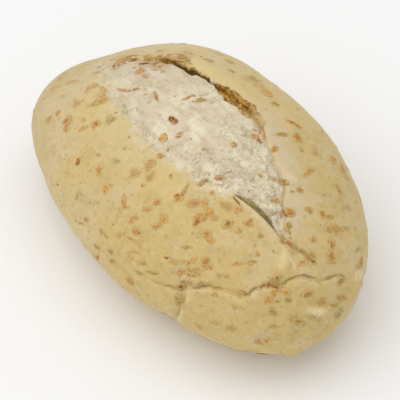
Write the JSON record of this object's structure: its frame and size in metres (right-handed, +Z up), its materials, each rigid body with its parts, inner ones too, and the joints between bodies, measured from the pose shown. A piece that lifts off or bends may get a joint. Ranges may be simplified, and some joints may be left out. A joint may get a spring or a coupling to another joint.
{
  "type": "mini baguette",
  "caption": "Short oval part-baked bread roll with a bran-flecked pale crust, a lengthwise slash showing floury crumb, and a folded end.",
  "frame": {"origin": "centre of the base, on the surface that the roll rests on", "axes": "+X along the roll towards its folded near end, +Y towards the side with the deep crevice, +Z up"},
  "size_m": [0.11, 0.0714, 0.0485],
  "materials": {
    "crust": "matt, pale cream-yellow part-baked crust",
    "crumb": "matt, rough, floury white torn crumb",
    "bran": "matt orange-brown flakes"
  },
  "bodies": {
    "root": {"loaf": "crust"}
  },
  "joints": []
}
